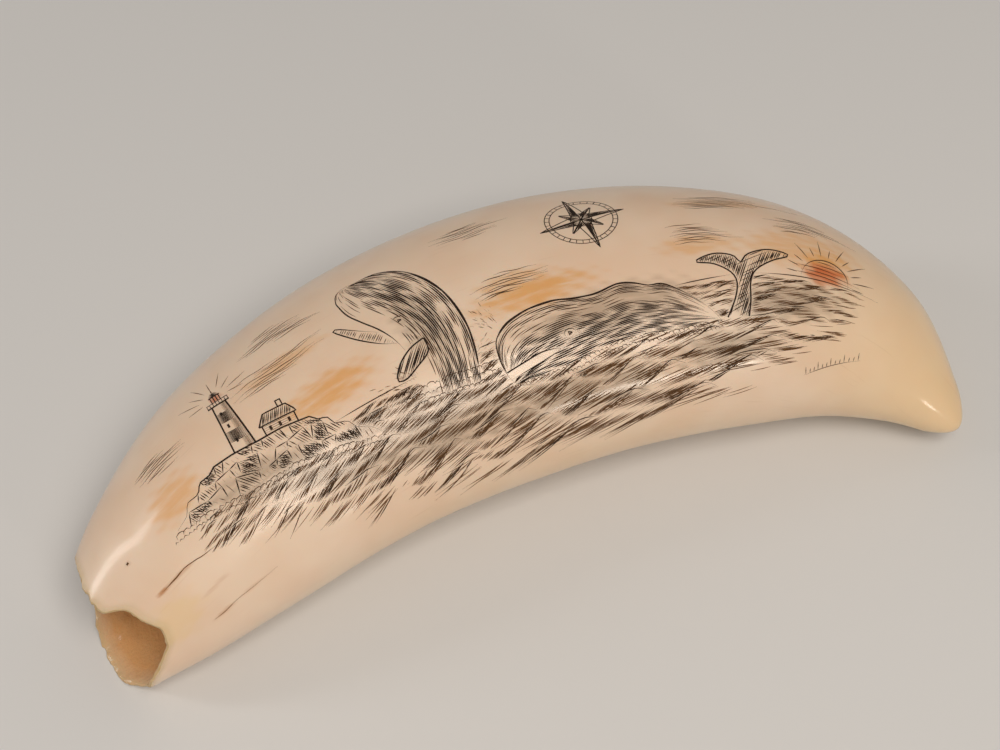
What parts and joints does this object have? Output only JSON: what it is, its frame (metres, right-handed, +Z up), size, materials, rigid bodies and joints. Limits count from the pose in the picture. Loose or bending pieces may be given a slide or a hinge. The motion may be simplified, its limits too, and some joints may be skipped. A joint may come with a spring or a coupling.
{
  "type": "scrimshaw whale tooth",
  "caption": "Curved, polished sperm whale tooth with a blunt tip, a broken hollow root and an inked engraving on its upper face; a loose ornament that lies on its side.",
  "frame": {"origin": "on the surface that the tooth lies on, under the middle of its box", "axes": "+X from the broken root to the tip, along the chord of the bend; -Y towards the inside of the bend; +Z up, through the engraved face"},
  "size_m": [0.1734, 0.073, 0.043],
  "materials": {
    "dentine": "polished warm cream dentine, softly translucent, with a satin gloss",
    "ink": "matt brown-black ink rubbed into engraved lines"
  },
  "bodies": {
    "root": {"tooth": "dentine"}
  },
  "joints": []
}
